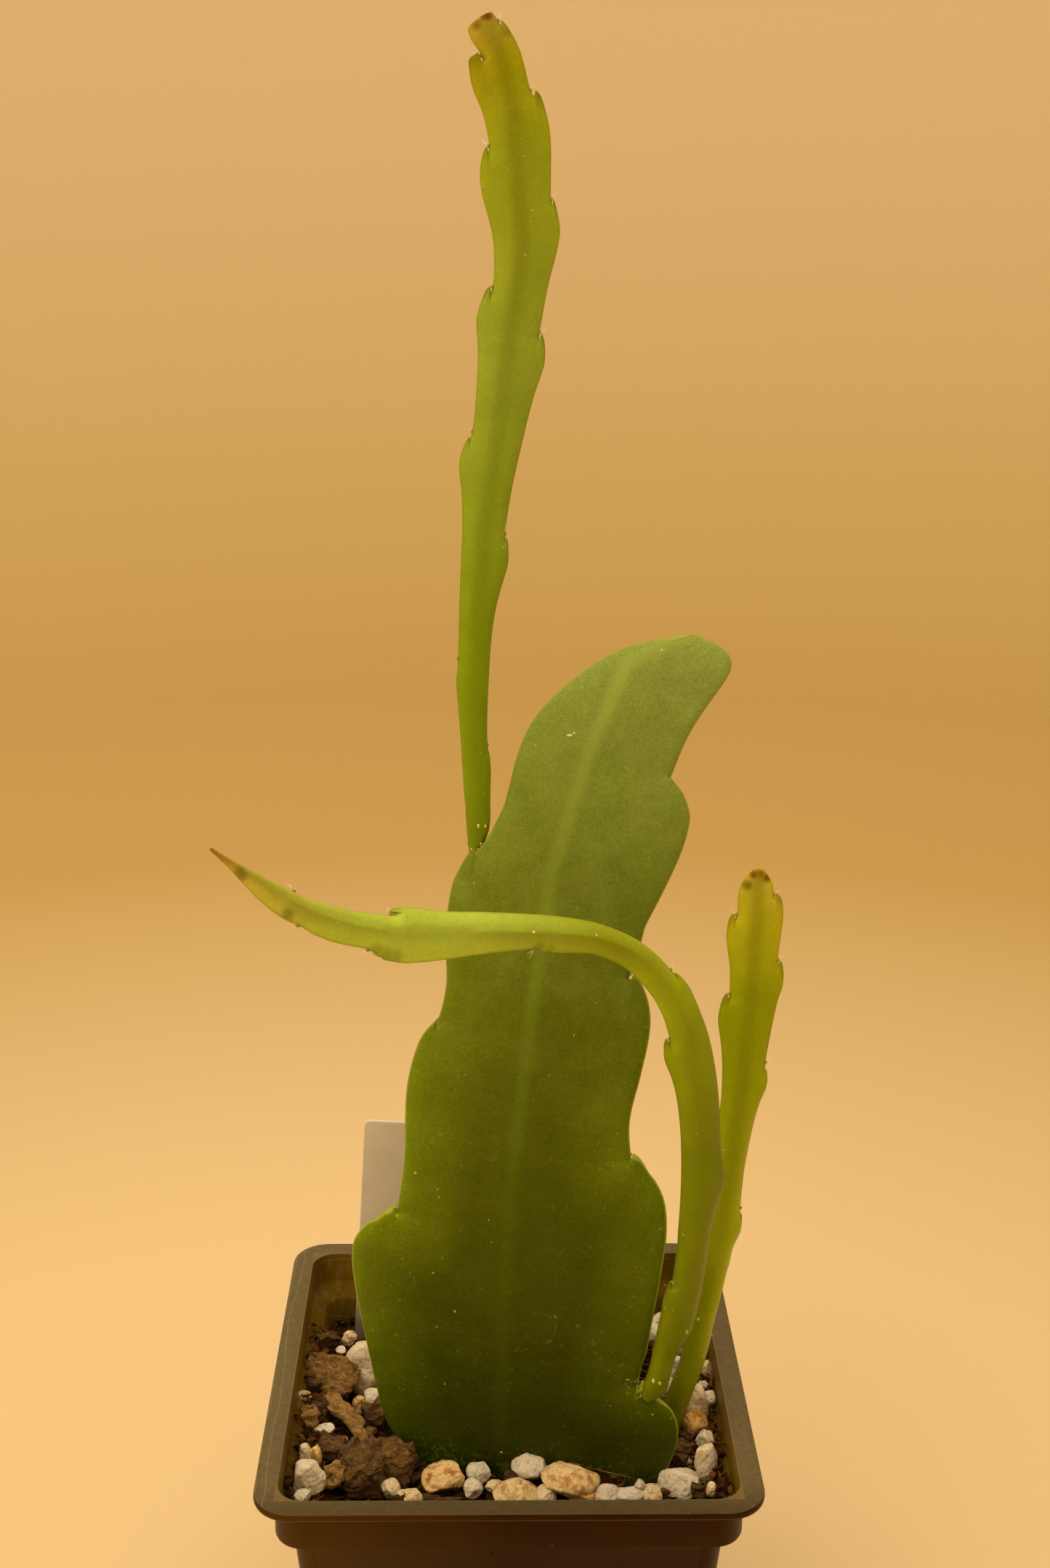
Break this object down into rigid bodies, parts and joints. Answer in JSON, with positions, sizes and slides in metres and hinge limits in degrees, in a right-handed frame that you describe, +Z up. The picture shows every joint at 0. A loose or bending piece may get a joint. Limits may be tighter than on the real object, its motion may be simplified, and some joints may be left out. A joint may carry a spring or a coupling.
{
  "type": "potted orchid cactus",
  "caption": "Orchid cactus with a flat notched stem and slender new shoots in a square nursery pot, with pumice and bark on the potting mix and a blank label.",
  "frame": {"origin": "middle of the pot's foot, on the surface that the pot stands on", "axes": "+Z up, the front of the pot faces -Y"},
  "size_m": [0.0933, 0.1041, 0.3269],
  "materials": {
    "black_plastic": "black moulded polypropylene, dusty, with pale scratches and mineral lines",
    "potting_mix": "dark, damp potting mix of composted bark and fibre",
    "old_stem": "dark green waxy stem skin, finely speckled",
    "new_stem": "yellow-green young stem skin, slightly translucent",
    "label_plastic": "blank pale plastic label",
    "pumice": "white to tan pumice, matte and pitted",
    "bark": "brown bark, fibrous and torn"
  },
  "bodies": {
    "root": {"pot": "black_plastic", "potting_mix": "potting_mix", "old_pad": "old_stem", "tall_shoot": "new_stem", "arching_shoot": "new_stem", "basal_shoot": "new_stem", "plant_label": "label_plastic", "pumice_front": "pumice", "pumice_right": "pumice", "pumice_back": "pumice", "pumice_left_front": "pumice", "pumice_left_back": "pumice", "bark_front": "bark", "bark_back": "bark"}
  },
  "joints": []
}
